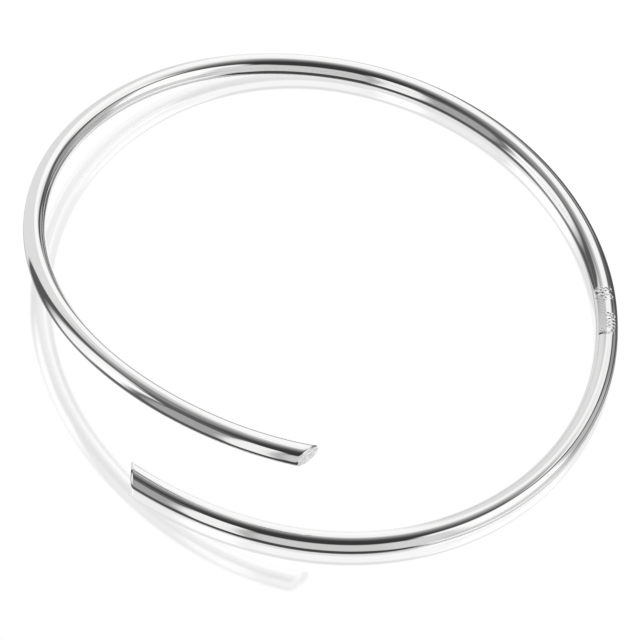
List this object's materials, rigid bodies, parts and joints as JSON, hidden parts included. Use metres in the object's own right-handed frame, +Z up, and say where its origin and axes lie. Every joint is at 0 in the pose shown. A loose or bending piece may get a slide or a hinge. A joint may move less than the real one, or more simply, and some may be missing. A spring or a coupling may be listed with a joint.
{
  "type": "bangle bracelet",
  "caption": "Open bypass bangle of round polished silver tube whose slant-cut, capped ends pass each other at the front without touching.",
  "frame": {"origin": "middle of the bangle's box, on the table it lies on", "axes": "+Z up from the table through the wrist opening; the overlapping ends are at -Y; +X towards the flank that carries the mark plate"},
  "size_m": [0.0662, 0.0652, 0.0151],
  "materials": {
    "polished_silver": "mirror-polished sterling silver",
    "end_cap_silver": "polished sterling silver, softened rim",
    "mark_plate_silver": "sterling silver with plain struck marks"
  },
  "bodies": {
    "lower_half": {"lower_half_band": "polished_silver", "lower_end_cap": "end_cap_silver", "mark_plate": "mark_plate_silver"},
    "upper_half": {"upper_half_band": "polished_silver", "upper_end_cap": "end_cap_silver"}
  },
  "joints": [
    {"name": "spring_open", "type": "hinge", "parent": "lower_half", "child": "upper_half", "pos_m": [0.00796, 0.02943, 0.00125], "axis": [0, 0, -1], "range_deg": [-3, 10], "stiffness_Nm_per_rad": 1.45}
  ]
}
